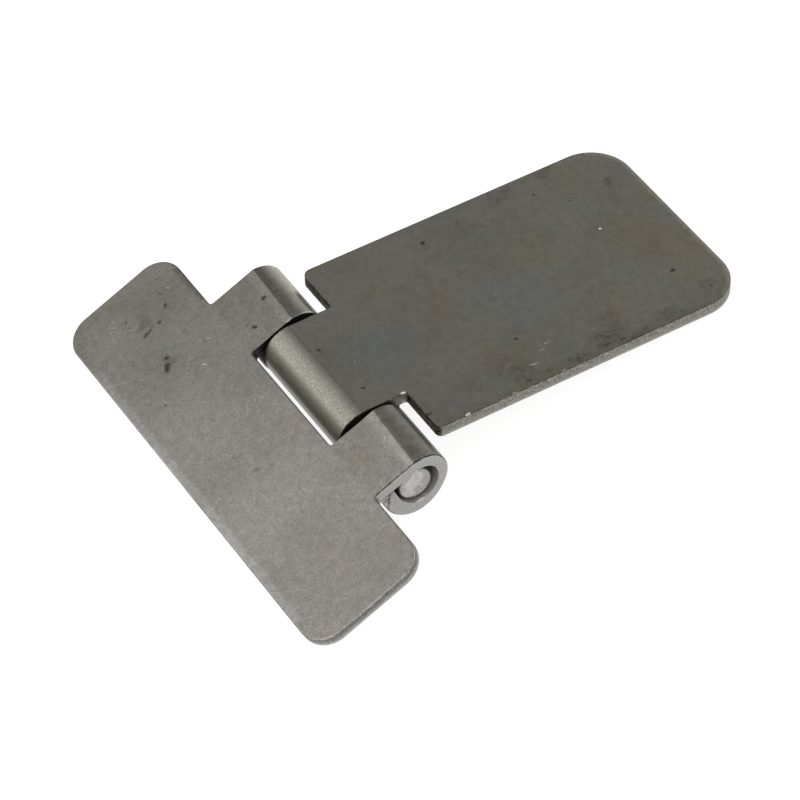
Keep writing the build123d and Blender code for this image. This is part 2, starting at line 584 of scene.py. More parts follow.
@dataclass(frozen=True, kw_only=True)
class ShearedFinish:
    """The cut edge of the plate: burnished where the punch entered and torn where the steel broke, with
    painted shade where other parts sit close to it.
    """

    name: str  # the material's name
    plate: float  # the thickness of the plate, in millimetres
    zones: Zones  # places through the plate from the flush face, as shares of it, and the tone there
    tab_zones: Zones  # the same on the tabs
    tab_from: float  # the place along the strip where the tabs begin
    tear_from: float  # where the torn band begins, in millimetres from the flush face
    tear_to: float  # where it is fully torn
    crumb: float  # how many crumbs there are to a millimetre where it is torn
    tear: float  # how strongly the crumbs show
    dashes: float  # how strongly dark dashes along the edge show
    seam: float = 32.3  # the place along the strip from which the edge is torn right through
    crack: Point = (30.0, 36.3)  # where a crack meets the flush and the inner face, along the strip
    shaded_seat: ShadedSeat | None = None  # the edge with painted shade, if there is one
    shut_shade_to: float = 0.0  # how far from the leaf's middle the ends of tabs are shut in by another knuckle and painted with shade
    shut_shade_tone: float = 0.25  # the tone of that painted shade
    roughness: float  # the roughness of the edge
    seed: float  # where the patterns are taken from

    def make(self) -> bpy.types.Material:
        """Builds the material.

        Returns:
            The material.
        """
        material, graph = new_material(self.name)
        strip, place = graph.blank(self.seed)
        along, across, depth = graph.split(strip)

        level = graph.swayed(depth, graph.noise(graph.moved(place, (0, 0, 0), (1, 1, 0)), 0.5, 3.0), 0.7)
        through = graph.math("DIVIDE", level, self.plate)
        on_tab = graph.fit(along, self.tab_from, self.tab_from + 0.6)
        colour = graph.mix(on_tab, graph.ramp(through, self.zones), graph.ramp(through, self.tab_zones))
        off_tab = graph.math("SUBTRACT", 1.0, on_tab)
        torn = graph.product(graph.fit(level, self.tear_from, self.tear_to), off_tab)
        torn = graph.math("MAXIMUM", torn, graph.fit(along, self.seam, self.seam + 0.6))

        streaks = graph.noise(graph.moved(place, (5, 5, 0), (1, 1, 0.8)), 2.2, 5.0, 0.78)
        crumbs = graph.noise(place, self.crumb, 5.0, 0.78)
        torn_shade = graph.grey(graph.fit(crumbs, 0.4, 0.6, 1.0 - self.tear, 1.0 + self.tear))
        smooth_shade = graph.grey(graph.fit(streaks, 0.38, 0.62, 0.86, 1.14))
        colour = graph.mix(1.0, colour, graph.mix(torn, smooth_shade, torn_shade), "MULTIPLY")

        drawn = graph.noise(graph.moved(place, (3, 9, 4), (0.55, 0.55, 2.0)), 1.1, 3.0, 0.6)
        dash = graph.product(graph.fit(drawn, 0.54, 0.64), torn, self.dashes)
        colour = graph.toned(dash, colour, TORN_DASH)
        slant = (self.crack[1] - self.crack[0]) / self.plate
        off_crack = graph.math("SUBTRACT", along, graph.math("MULTIPLY_ADD", depth, slant, self.crack[0]))
        off_crack = graph.swayed(off_crack, graph.noise(place, 1.3, 4.0, 0.7), 5.0)
        cracked = graph.product(
            graph.fit(graph.math("ABSOLUTE", off_crack), 0.3, 0.85, 1.0, 0.0),
            graph.fit(crumbs, 0.4, 0.5, 0.2, 1.0),
        )
        colour = graph.toned(cracked, colour, CRACK)
        outward = graph.math("ABSOLUTE", across)
        # Painted shade on the ends of the tabs that are shut in beside another knuckle.
        if self.shut_shade_to:
            shut_shade = graph.product(on_tab, graph.fit(outward, self.shut_shade_to, self.shut_shade_to + 0.1, 1.0, 0.0))
            colour = graph.shaded(colour, graph.math("MULTIPLY_ADD", shut_shade, self.shut_shade_tone - 1.0, 1.0))
        # Painted shade on the edge that sits close to another part, with real chipped specks on it.
        if self.shaded_seat:
            apart = graph.math("ABSOLUTE", graph.math("SUBTRACT", along, self.shaded_seat.along))
            outside = graph.fit(outward, self.shaded_seat.outward, self.shaded_seat.outward + 0.4)
            dull = graph.product(graph.fit(apart, 0.3, 1.2, 1.0, 0.0), outside)
            colour = graph.shaded(colour, graph.math("MULTIPLY_ADD", dull, self.shaded_seat.tone - 1.0, 1.0))
            chips = graph.noise(graph.moved(place, (17, 3, 0)), 1.1, 4.0, 0.7)
            chipped = graph.product(graph.fit(chips, 0.52, 0.58, 0.0, 0.7), dull)
            colour = graph.mix(chipped, colour, self.shaded_seat.chip)

        rough = graph.math("MULTIPLY_ADD", torn, 0.16, self.roughness)
        rough = graph.swayed(rough, crumbs, 0.25, clamp=True)
        height = graph.math("MULTIPLY_ADD", streaks, 0.3, graph.math("MULTIPLY", crumbs, torn))
        graph.finish(colour, 1.0, rough, height, 0.03)
        return material


@dataclass(frozen=True)
class BoreFinish:
    """The inside of a knuckle: dull scale, rubbed by the pin and never cleaned, with a painted highlight."""

    name: str  # the material's name
    tone: Colour  # the colour of the scale
    rust: Colour  # the colour of its warm patches
    metallic: float  # how much bare steel shows
    roughness: float  # its roughness
    seed: float  # where the patterns are taken from
    glint: Mark  # a painted highlight, bright and metallic, where the bore's rounded rim catches the light

    def make(self) -> bpy.types.Material:
        """Builds the material.

        Returns:
            The material.
        """
        material, graph = new_material(self.name)
        strip, place = graph.blank(self.seed)
        patches = graph.fit(graph.noise(place, 0.35, 4.0, 0.6), 0.45, 0.65)
        grain = graph.noise(place, 2.0, 4.0, 0.7)
        colour = graph.mix(patches, self.tone, self.rust)
        colour = graph.shaded(colour, graph.fit(grain, 0.3, 0.7, 0.75, 1.25))
        # Painted highlight: the glint is painted bright and made fully metallic.
        rubbed_and_glint = graph.spots(graph.warped(strip, 0.8, 0.4), (self.glint,), 0.3, 1.4)
        colour = graph.mix(rubbed_and_glint, colour, BRIGHT_STEEL_AND_GLINT)
        metal_and_glint = graph.math("MAXIMUM", rubbed_and_glint, self.metallic)
        graph.finish(colour, metal_and_glint, self.roughness, grain, 0.02)
        return material


@dataclass(frozen=True)
class PinFinish:
    """Drawn steel: fine lines along the bar and a cropped, blotchy end."""

    name: str  # the material's name
    bar: Colour  # the tone of the bar's side
    end: Colour  # the tone of its ends
    blotch: Colour  # the tint of the dull blotches on its ends
    bright: Colour  # the tint of the bright blotches on its ends
    roughness: float  # the roughness of the ends

    def make(self) -> bpy.types.Material:
        """Builds the material.

        Returns:
            The material.
        """
        material, graph = new_material(self.name)
        metres = graph.node("ShaderNodeTexCoord").outputs["Object"]
        place = graph.vector("MULTIPLY", metres, (1.0 / MM,) * 3)
        normal = graph.node("ShaderNodeNewGeometry").outputs["Normal"]
        on_end = graph.fit(graph.math("ABSOLUTE", graph.split(normal)[1]), 0.5, 0.9)
        blotches = graph.fit(graph.noise(place, 0.4, 3.0, 0.5), 0.34, 0.66)
        tones = ((0.1, self.end), (0.4, self.blotch), (0.62, self.end), (0.9, self.bright))
        cropped = graph.ramp(blotches, tones)
        colour = graph.mix(on_end, self.bar, cropped)
        drawn = graph.noise(graph.moved(place, (0, 0, 0), (1, 0.05, 1)), 4.0, 3.0)
        grain = graph.noise(place, 3.0, 4.0, 0.7)
        rubbed_and_glint = graph.math("ADD", drawn, grain)
        colour = graph.shaded(colour, graph.fit(rubbed_and_glint, 0.7, 1.3, 0.84, 1.16))
        rough = graph.swayed(self.roughness, grain, 0.25, clamp=True)
        graph.finish(colour, 1.0, rough, rubbed_and_glint, 0.012)
        return material


def add_piece(name: str, mesh: bmesh.types.BMesh, body: Body, node: str) -> bpy.types.Object:
    """Turns a finished mesh into a smooth-shaded piece that stands for a solid of the frame.

    Args:
        name: The piece's name.
        mesh: The mesh, in metres and in place. It is freed.
        body: The body that the piece rides on.
        node: The solid that it stands for, which is also the name of its material slot in the record.

    Returns:
        The piece's object.
    """
    data = bpy.data.meshes.new(name)
    mesh.to_mesh(data)
    mesh.free()
    data.shade_smooth()
    data.set_sharp_from_angle(angle=SHARP)
    piece = bpy.data.objects.new(name, data)
    bpy.context.scene.collection.objects.link(piece)
    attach(piece, body.value)
    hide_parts(node)
    return piece


def arc(centre: Vector, radius: float, start: float, stop: float, count: int) -> list[Vector]:
    """Points on an arc in a section, by their angles from upright towards the tab's far side.

    Args:
        centre: The arc's centre.
        radius: Its radius.
        start: The angle at which it begins, in degrees.
        stop: The angle at which it ends.
        count: The number of steps between its points.

    Returns:
        The points, with both ends.
    """
    angles = [math.radians(start + (stop - start) * i / count) for i in range(count + 1)]
    return [centre + radius * Vector((math.sin(a), math.cos(a))) for a in angles]


@dataclass(frozen=True)
class Station:
    """One line through the plate of a rolled tab."""

    along: float  # its place along the flat blank, from the pin's axis
    outer: Vector  # where it meets the flush side
    inner: Vector  # where it meets the inner side


@dataclass(frozen=True)
class Roll:
    """The plate and the way its tabs are rolled round the pin. All sizes are in millimetres.

    A leaf's own frame has the pin along Y through its origin, the leaf towards -X and its flush face
    looking along +Z. A tab goes on past the pin's axis, breaks down at a crease, and turns through a crown
    and a wider curl up to the leaf again.
    """

    plate: float = 3.0  # the thickness of the plate
    pin_diameter: float = 8.0  # the pin's diameter
    pin_clearance: float = 0.4  # the gap between the pin and the flat above it
    bore_width: float = 10.4  # the inside width of the curl
    bore_offset: Point = (0.3, -0.2)  # how far the bore's middle is off the curl's
    end_lean: Point = (0.1, 0.4)  # how far the outer and the inner side lean to the pin at the tab's end
    thinned: float = 0.75  # how much thinner the plate is where the curl is drawn out most
    thinned_at: float = 148.0  # the direction of that place from the curl's middle, in degrees from upright
    thinned_reach: float = 65.0  # how far round the curl it fades, in degrees
    crown: float = 6.5  # the outer radius of the crown
    crease_turn: float = 17.0  # how far the flat breaks down at the crease, in degrees
    crease_radius: float = 1.0  # the radius of the crease
    seam_gap: float = -0.15  # the gap where the end of the tab closes on the leaf; below 0 it digs in
    flat_steps: int = 3  # the number of steps from the first turn of the inner side to the crease
    crease_steps: int = 4  # the number of steps in the crease
    crown_steps: int = 16  # the number of steps in the crown
    curl_steps: int = 40  # the number of steps in the curl

    @property
    def underside(self) -> float:
        """The height of the leaf's inner face above the pin's axis."""
        return self.pin_diameter / 2 + self.pin_clearance

    @property
    def face(self) -> float:
        """The height of the leaf's flush face above the pin's axis."""
        return self.underside + self.plate

    @property
    def curl(self) -> float:
        """The outer radius of the curl."""
        return self.bore_width / 2 + self.plate

    @property
    def crown_middle(self) -> float:
        """How far past the pin's axis the crown is centred."""
        return self.curl - self.crown

    @cached_property
    def path(self) -> list[Station]:
        """The tab's section, from where it first turns to its end.

        Returns:
            The lines through the plate, in order.
        """
        lean = math.radians(self.crease_turn)
        swing = self.crown - self.crease_radius
        crease = Vector((self.crown_middle + swing * math.sin(lean), self.face - self.crease_radius))
        crown = Vector((self.crown_middle, crease.y - swing * math.cos(lean)))
        curl = Vector((0.0, self.bore_width / 2 - self.underside))
        end = self.underside - self.seam_gap

        step = (crease.x - self.crown_middle) / self.flat_steps
        outer = [Vector((self.crown_middle + step * i, self.face)) for i in range(self.flat_steps)]
        outer += arc(crease, self.crease_radius, 0, self.crease_turn, self.crease_steps)
        outer += arc(crown, self.crown, self.crease_turn, 90, self.crown_steps)[1:]
        turning = len(outer)
        outer += arc(curl, self.curl, 90, 270, self.curl_steps)
        outer.append(Vector((-self.curl, end)))

        reach = self.crown - self.plate
        inner = arc(Vector((self.crown_middle, self.underside - reach)), reach, 0, 90, turning - 1)
        inner += arc(curl, self.bore_width / 2, 90, 270, self.curl_steps)
        inner.append(Vector((-self.bore_width / 2, end)))
        leaning = turning + self.curl_steps // 2
        for index, (top, bottom) in enumerate(zip(outer, inner)):
            bottom += Vector(self.bore_offset) * min(1.0, index / (turning - 1))
            angle = 90 + 180 * (index - turning) / self.curl_steps
            share = max(0.0, 1.0 - abs(angle - self.thinned_at) / self.thinned_reach)
            top += (curl - top).normalized() * self.thinned * share * share * (3.0 - 2.0 * share)
            lean = max(0.0, (index - leaning) / (len(inner) - leaning))
            top.x += self.end_lean[0] * lean
            bottom.x += self.end_lean[1] * lean

        stations = [Station(self.crown_middle, outer[0], inner[0])]
        for top, bottom in zip(outer[1:], inner[1:]):
            last = stations[-1]
            length = ((top + bottom) / 2 - (last.outer + last.inner) / 2).length
            stations.append(Station(last.along + length, top, bottom))
        return stations

    @property
    def crease_along(self) -> float:
        """The place of the crease along the flat blank."""
        return self.path[self.flat_steps + self.crease_steps // 2].along

    @property
    def tab_end(self) -> float:
        """The length of a tab's flat blank past the pin's axis."""
        return self.path[-1].along

    def bend(self, along: float, depth: float) -> Vector:
        """Where a point of the flat blank comes to lie.

        Args:
            along: Its place along the strip, from the pin's axis.
            depth: Its depth below the flush face.

        Returns:
            Its X and Z in the leaf's own frame.
        """
        if along <= self.crown_middle:
            return Vector((along, self.face - depth))
        index = bisect.bisect_left(self.path, along, key=lambda station: station.along)
        after = self.path[min(index, len(self.path) - 1)]
        before = self.path[min(index, len(self.path) - 1) - 1]
        share = (along - before.along) / (after.along - before.along)
        outer = before.outer.lerp(after.outer, share)
        inner = before.inner.lerp(after.inner, share)
        return outer.lerp(inner, depth / self.plate)


@dataclass(frozen=True)
class CreaseRun:
    """How far the crease of one knuckle strays from its true place, along the knuckle. Millimetres."""

    start: float  # the knuckle's lower end along the pin
    stop: float  # its upper end
    start_off: float  # how far the crease is off at the lower end, along the strip
    stop_off: float  # how far it is off at the upper end
    wave: float = 0.12  # how far it wavers
    ripples: float = 0.45  # how many times it wavers in a millimetre

    def offset(self, y: float) -> float:
        """How far the crease is off.

        Args:
            y: The place along the pin.

        Returns:
            The distance along the strip.
        """
        share = (y - self.start) / (self.stop - self.start)
        wave = self.wave * noise.noise((self.ripples * y, 3.0, 5.0))
        return self.start_off + (self.stop_off - self.start_off) * share + wave


@dataclass
class RolledLeaf(ABC):
    """A leaf of the hinge, cut from plate and rolled. All sizes are in millimetres."""

    name: str  # the piece's name, which is also that of the solid it stands for
    body: Body  # the body that it rides on
    mount: str  # the record's mount on its flush face, which gives the leaf's slope
    faces_back: bool  # whether the leaf lies towards +X, turned half round
    skin: SkinFinish  # the finish of its rolled faces
    edge: ShearedFinish  # the finish of its cut edges
    bore: BoreFinish  # the finish inside its knuckles
    creases: tuple[CreaseRun, ...]  # how its creases run
    roll: Roll  # the plate and its roll
    flush_round: float = 0.35  # the rounding of the rim on its flush side
    inner_round: float = 0.3  # the rounding of the rim on its inner side
    rim_strips: Point = (0.2, 0.7)  # the widths of two narrow strips of mesh inside each rim
    cell: float = 2.0  # the size of the mesh on its flat
    layers: int = 5  # the number of layers of mesh in the middle of its cut edge
    layer_span: Point = (0.2, 0.8)  # where they begin and end through the plate, as shares of it
    crease_reach: float = 3.0  # how far from the crease the plate follows it where it strays
    outline: list[Vector] = field(default_factory=list, init=False)  # of its flat blank, once it is cut

    @abstractmethod
    def corners(self) -> list[tuple[Point, float]]:
        """The corners of the flat blank.

        Returns:
            Each corner, in order round the blank, with the radius that rounds it.
        """

    def blank(self) -> bmesh.types.BMesh:
        """Cuts the flat blank, with its plan corners and both rims rounded.

        Returns:
            The blank, with its flush face at height 0 and its inner face below.
        """
        mesh = bmesh.new()
        corners = [(mesh.verts.new((*place, 0.0)), radius) for place, radius in self.corners()]
        mesh.faces.new([vert for vert, _ in corners])
        for radius in sorted({radius for _, radius in corners if radius}):
            alike = [vert for vert, own in corners if own == radius]
            bmesh.ops.bevel(
                mesh, geom=alike, offset=radius, offset_type="OFFSET", segments=round(CORNER_STEPS + radius),
                profile=0.5, affect="VERTICES", material=-1, clamp_overlap=False,
            )
        mesh.faces.ensure_lookup_table()
        self.outline = [vert.co.copy() for vert in mesh.faces[0].verts]
        made = bmesh.ops.extrude_face_region(mesh, geom=mesh.faces[:])
        lowered = [part for part in made["geom"] if isinstance(part, bmesh.types.BMVert)]
        bmesh.ops.translate(mesh, verts=lowered, vec=(0, 0, -self.roll.plate))
        bmesh.ops.recalc_face_normals(mesh, faces=mesh.faces[:])
        self.round_rim(mesh, 0.0, self.flush_round)
        self.round_rim(mesh, -self.roll.plate, self.inner_round)
        return mesh

    def side(self, mesh: bmesh.types.BMesh, height: float) -> bmesh.types.BMFace:
        """The widest face of the blank at a height, which is one of its sides."""
        level = [f for f in mesh.faces if all(abs(v.co.z - height) < LEVEL for v in f.verts)]
        return max(level, key=lambda face: face.calc_area())

    def round_rim(self, mesh: bmesh.types.BMesh, height: float, radius: float) -> None:
        """Rounds the rim of one side of the blank and runs close lines of points inside it.

        Args:
            mesh: The blank.
            height: The height of the side.
            radius: The rounding.
        """
        edges = self.side(mesh, height).edges[:]
        bmesh.ops.bevel(
            mesh, geom=edges, offset=radius, offset_type="OFFSET", segments=4 if radius > SMALL_ROUND else 2,
            profile=0.5, affect="EDGES", material=-1, clamp_overlap=False,
        )
        for width in self.rim_strips:
            bmesh.ops.inset_region(
                mesh, faces=[self.side(mesh, height)], thickness=width, use_even_offset=True,
                use_boundary=True,
            )

    def slice(self, mesh: bmesh.types.BMesh) -> None:
        """Cuts lines of points through the blank: a grid on its flat, close lines where it is rolled.

        Args:
            mesh: The blank.
        """
        low = min(v.co.x for v in mesh.verts)
        wide = max(v.co.y for v in mesh.verts)
        flat = self.roll.crown_middle - low
        columns = math.ceil(flat / self.cell)
        rows = math.ceil(2 * wide / self.cell)
        cuts = [((low + flat * i / columns, 0, 0), (1, 0, 0)) for i in range(1, columns)]
        cuts += [((station.along, 0, 0), (1, 0, 0)) for station in self.roll.path[:-1]]
        cuts += [((0, -wide + 2 * wide * i / rows, 0), (0, 1, 0)) for i in range(1, rows)]
        first, last = (self.roll.plate * share for share in self.layer_span)
        depths = [first + (last - first) * i / self.layers for i in range(self.layers + 1)]
        cuts += [((0, 0, -depth), (0, 0, 1)) for depth in depths]
        for place, normal in cuts:
            parts = mesh.verts[:] + mesh.edges[:] + mesh.faces[:]
            bmesh.ops.bisect_plane(mesh, geom=parts, dist=MERGE, plane_co=place, plane_no=normal)

    def mark_surfaces(self, mesh: bmesh.types.BMesh) -> None:
        """Gives each face its material slot, and each point its place on the blank and its way to the rim.

        Args:
            mesh: The blank.
        """
        mesh.normal_update()
        for face in mesh.faces:
            rolled = face.calc_center_median().x > -self.roll.curl
            if abs(face.normal.z) < CUT_EDGE:
                face.material_index = Surface.SHEARED
            else:
                face.material_index = Surface.BORE if rolled and face.normal.z < 0 else Surface.SKIN
        places = []
        for start, stop in zip(self.outline, self.outline[1:] + self.outline[:1]):
            count = math.ceil((stop - start).length / RIM_STEP)
            places += [start.lerp(stop, i / count) for i in range(count)]
        tree = kdtree.KDTree(len(places))
        for index, place in enumerate(places):
            tree.insert(place, index)
        tree.balance()
        strip = mesh.verts.layers.float_vector.new(STRIP)
        rim = mesh.verts.layers.float.new(RIM)
        for vert in mesh.verts:
            vert[strip] = (vert.co.x, vert.co.y, -vert.co.z)
            vert[rim] = tree.find((vert.co.x, vert.co.y, 0.0))[2]

    def stray(self, strip: Vector) -> float:
        """How far a point of the flush side moves along the strip, because its crease strays.

        Args:
            strip: The point's place on the blank.

        Returns:
            The distance.
        """
        share = 1.0 - abs(strip.x - self.roll.crease_along) / self.crease_reach
        run = next((run for run in self.creases if run.start <= strip.y <= run.stop), None)
        if run is None or share <= 0.0:
            return 0.0
        return run.offset(strip.y) * share * (1.0 - strip.z / self.roll.plate)

    def form(self, mesh: bmesh.types.BMesh) -> None:
        """Rolls the blank's tabs.

        Args:
            mesh: The blank, which becomes the leaf in its own frame.
        """
        for vert in mesh.verts:
            strip = Vector((vert.co.x, vert.co.y, -vert.co.z))
            bent = self.roll.bend(strip.x, strip.z)
            vert.co = (bent.x + self.stray(strip), strip.y, bent.y)

    def placing(self) -> Matrix:
        """The way from the leaf's own frame, in millimetres, to the hinge's, in metres.

        Returns:
            The matrix.
        """
        pin = Vector(frame["joints"][0]["pos_m"])
        normal = Vector(next(m["axis"] for m in frame["record"]["mounts"] if m["name"] == self.mount))
        slope = Matrix.Rotation(math.atan2(normal.x, normal.z), 4, "Y")
        half_turn = Matrix.Rotation(math.pi if self.faces_back else 0.0, 4, "Z")
        return Matrix.Translation(pin) @ slope @ half_turn @ Matrix.Scale(MM, 4)

    def build(self) -> bpy.types.Object:
        """Makes the leaf and dresses it.

        Returns:
            The leaf's object.
        """
        mesh = self.blank()
        self.slice(mesh)
        self.mark_surfaces(mesh)
        self.form(mesh)
        bmesh.ops.recalc_face_normals(mesh, faces=mesh.faces[:])
        bmesh.ops.transform(mesh, matrix=self.placing(), verts=mesh.verts[:])
        piece = add_piece(f"{self.name}_steel", mesh, self.body, self.name)
        for finish in (self.skin, self.edge, self.bore):
            piece.data.materials.append(finish.make())
        return piece


@dataclass
class CrossLeaf(RolledLeaf):
    """The wide leaf, with an outer knuckle at each side of its notch."""

    bar_width: float = 110.0  # the leaf's width along the pin
    bar_depth: float = 29.8  # the depth of its bar
    bar_clearance: float = 0.35  # the gap from the curl to the bar's inner edge
    bar_corner: float = 6.4  # the radius of the bar's corners
    tab_corner: float = 0.8  # the radius in the corners between the bar and its tabs
    knuckle_span: float = 69.0  # the length over both knuckles
    notch: float = 33.4  # the width of the notch between them

    def corners(self) -> list[tuple[Point, float]]:
        """The corners of the flat blank.

        Returns:
            Each corner, in order round the blank, with the radius that rounds it.
        """
        inner = -(self.roll.curl + self.bar_clearance)
        outer = inner - self.bar_depth
        tip = self.roll.tab_end
        end, tab, gap = self.bar_width / 2, self.knuckle_span / 2, self.notch / 2
        half = [
            ((outer, end), self.bar_corner),
            ((inner, end), self.bar_corner),
            ((inner, tab), self.tab_corner),
            ((tip, tab), 0.0),
            ((tip, gap), 0.0),
            ((inner, gap), self.tab_corner),
        ]
        return half + [((x, -y), radius) for (x, y), radius in reversed(half)]


@dataclass
class StrapLeaf(RolledLeaf):
    """The long leaf, with the middle knuckle on a neck between its shoulders."""

    strap_width: float = 57.0  # the leaf's width along the pin
    strap_length: float = 80.1  # its length from the shoulders to its end
    shoulder_clearance: float = 0.8  # the gap from the curl to the shoulders
    strap_corner: float = 10.0  # the radius of the corners at its end
    shoulder_corner: float = 1.5  # the radius of the near shoulder's outer corner
    far_corner: float = 2.0  # the radius of the far shoulder's outer corner, which is more worn
    neck_corner: float = 0.5  # the radius in the corners between the shoulders and the neck
    knuckle: float = 31.2  # the length of its knuckle

    def corners(self) -> list[tuple[Point, float]]:
        """The corners of the flat blank.

        Returns:
            Each corner, in order round the blank, with the radius that rounds it.
        """
        shoulder = -(self.roll.curl + self.shoulder_clearance)
        end = shoulder - self.strap_length
        tip = self.roll.tab_end
        side, neck = self.strap_width / 2, self.knuckle / 2
        near = [
            ((end, side), self.strap_corner),
            ((shoulder, side), self.shoulder_corner),
            ((shoulder, neck), self.neck_corner),
            ((tip, neck), 0.0),
        ]
        far = [((x, -y), radius) for (x, y), radius in reversed(near)]
        place, _ = far[2]
        far[2] = (place, self.far_corner)
        return near + far


@dataclass
class HingePin:
    """The plain round pin, set back inside the outer knuckles. All sizes are in millimetres."""

    finish: PinFinish  # the finish of the pin
    chamfer: float = 0.25  # the width of the broken edge at its ends
    sides: int = 96  # the number of faces round it

    def build(self) -> bpy.types.Object:
        """Turns the pin from its profile and dresses it.

        Returns:
            The pin's object.
        """
        low, high = (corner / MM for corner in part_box("hinge_pin"))
        radius = (high.z - low.z) / 2
        half = (high.y - low.y) / 2
        profile = [(0.0, half), (0.5 * radius, half), (radius - self.chamfer, half)]
        profile += [(radius, half - self.chamfer), (radius, half - 2 * self.chamfer)]
        profile += [(x, -y) for x, y in reversed(profile)]
        mesh = bmesh.new()
        points = [mesh.verts.new((x, y, 0.0)) for x, y in profile]
        edges = [mesh.edges.new(pair) for pair in zip(points, points[1:])]
        bmesh.ops.spin(
            mesh, geom=points + edges, cent=(0, 0, 0), axis=(0, 1, 0), angle=2 * math.pi,
            steps=self.sides, use_merge=True,
        )
        bmesh.ops.remove_doubles(mesh, verts=mesh.verts[:], dist=MERGE)
        bmesh.ops.recalc_face_normals(mesh, faces=mesh.faces[:])
        place = Matrix.Translation((low + high) / 2 * MM) @ Matrix.Scale(MM, 4)
        bmesh.ops.transform(mesh, matrix=place, verts=mesh.verts[:])
        piece = add_piece("hinge_pin_steel", mesh, Body.CROSS, "hinge_pin")
        piece.data.materials.append(self.finish.make())
        return piece


@dataclass
class Studio:
    """The pale floor, the soft light and the camera."""

    aim: tuple[float, float, float] = (-15.529, -11.612, 7.438)  # the camera looks at it; in millimetres
    distance: float = 889.5  # the camera's distance from it, in millimetres
    azimuth: float = -23.413  # its direction round the hinge, in degrees: 0 looks along +Y
    elevation: float = 48.886  # its height above the horizon, in degrees
    roll: float = -11.367  # its turn about its own axis, in degrees
    lens: float = 185.841  # its focal length, in millimetres
    sensor: float = 36.0  # the width of its sensor, in millimetres
    clip: Point = (0.01, 50.0)  # the nearest and the farthest that it sees, in metres
    floor_size: float = 8.0  # the width of the floor, in metres
    floor_glow: float = 0.88  # how much of the floor's white is its own, in view and in reflections
    floor_tone: float = 0.3  # how much light the floor gives back
    sky: tuple[Point, ...] = (  # the light of the room from the dim side to the bright side
        (0.0, 1.0), (0.1, 0.95), (0.23, 0.52), (0.38, 0.5), (0.5, 0.75), (0.62, 1.05), (0.78, 1.4), (1.0, 1.2)
    )
    bright_side: tuple[float, float, float] = (-1.0, 0.0, 0.0)  # the direction of the bright side

    def build_camera(self) -> None:
        """Sets the camera up at the photograph's point of view."""
        azimuth, elevation = math.radians(self.azimuth), math.radians(self.elevation)
        level = math.cos(elevation)
        back = Vector((math.sin(azimuth) * level, -math.cos(azimuth) * level, math.sin(elevation)))
        look = (-back).to_track_quat("-Z", "Y").to_matrix().to_4x4()
        roll = Matrix.Rotation(math.radians(self.roll), 4, "Z")
        data = bpy.data.cameras.new("photo_camera")
        data.lens = self.lens
        data.sensor_width = self.sensor
        data.sensor_fit = "AUTO"
        data.clip_start, data.clip_end = self.clip
        camera = bpy.data.objects.new("photo_camera", data)
        place = (Vector(self.aim) + back * self.distance) * MM
        camera.matrix_world = Matrix.Translation(place) @ look @ roll
        bpy.context.scene.collection.objects.link(camera)
        bpy.context.scene.camera = camera

    def build_floor(self) -> None:
        """Lays the floor, white to the camera and in reflections, with the hinge's shadow on it.

        It is clear to a camera below it, so that the hinge's underside can be looked at.
        """
        mesh = bmesh.new()
        bmesh.ops.create_grid(mesh, x_segments=1, y_segments=1, size=self.floor_size / 2)
        data = bpy.data.meshes.new("studio_floor")
        mesh.to_mesh(data)
        mesh.free()
        floor = bpy.data.objects.new("studio_floor", data)
        bpy.context.scene.collection.objects.link(floor)
        material, graph = new_material("studio_floor_white")
        rays = graph.node("ShaderNodeLightPath").outputs
        seen = graph.math("MAXIMUM", rays["Is Camera Ray"], rays["Is Glossy Ray"])
        seen = graph.math("MAXIMUM", seen, rays["Is Transmission Ray"])
        glow = graph.node("ShaderNodeEmission", {"Color": (1, 1, 1)})
        graph.feed(glow.inputs["Strength"], graph.math("MULTIPLY", seen, self.floor_glow))
        matte = graph.node("ShaderNodeBsdfDiffuse", {"Color": (self.floor_tone,) * 3})
        both = graph.node("ShaderNodeAddShader", {0: glow.outputs[0], 1: matte.outputs[0]})
        below = graph.node("ShaderNodeNewGeometry").outputs["Backfacing"]
        below = graph.math("MULTIPLY", below, rays["Is Camera Ray"])
        clear = graph.node("ShaderNodeBsdfTransparent")
        shown = graph.node("ShaderNodeMixShader", {0: below, 1: both.outputs[0], 2: clear.outputs[0]})
        graph.node("ShaderNodeOutputMaterial", {0: shown.outputs[0]})
        data.materials.append(material)

    def build_light(self) -> None:
        """Lights the hinge with a soft room that is brighter on one side."""
        world = bpy.data.worlds.new("studio_room")
        world.use_nodes = True
        bpy.context.scene.world = world
        graph = Graph(world.node_tree)
        direction = graph.node("ShaderNodeTexCoord").outputs["Generated"]
        towards = graph.vector("DOT_PRODUCT", direction, tuple(Vector(self.bright_side).normalized()))
        place = graph.math("MULTIPLY_ADD", towards, 0.5, 0.5)
        colour = graph.ramp(place, [(at, (level,) * 3) for at, level in self.sky])
        seen = graph.node("ShaderNodeLightPath").outputs["Is Camera Ray"]
        colour = graph.mix(seen, colour, (1, 1, 1))
        sky = graph.node("ShaderNodeBackground", {"Color": colour, "Strength": 1.0})
        graph.node("ShaderNodeOutputWorld", {0: sky.outputs[0]})
        bpy.context.scene.view_settings.view_transform = "Standard"


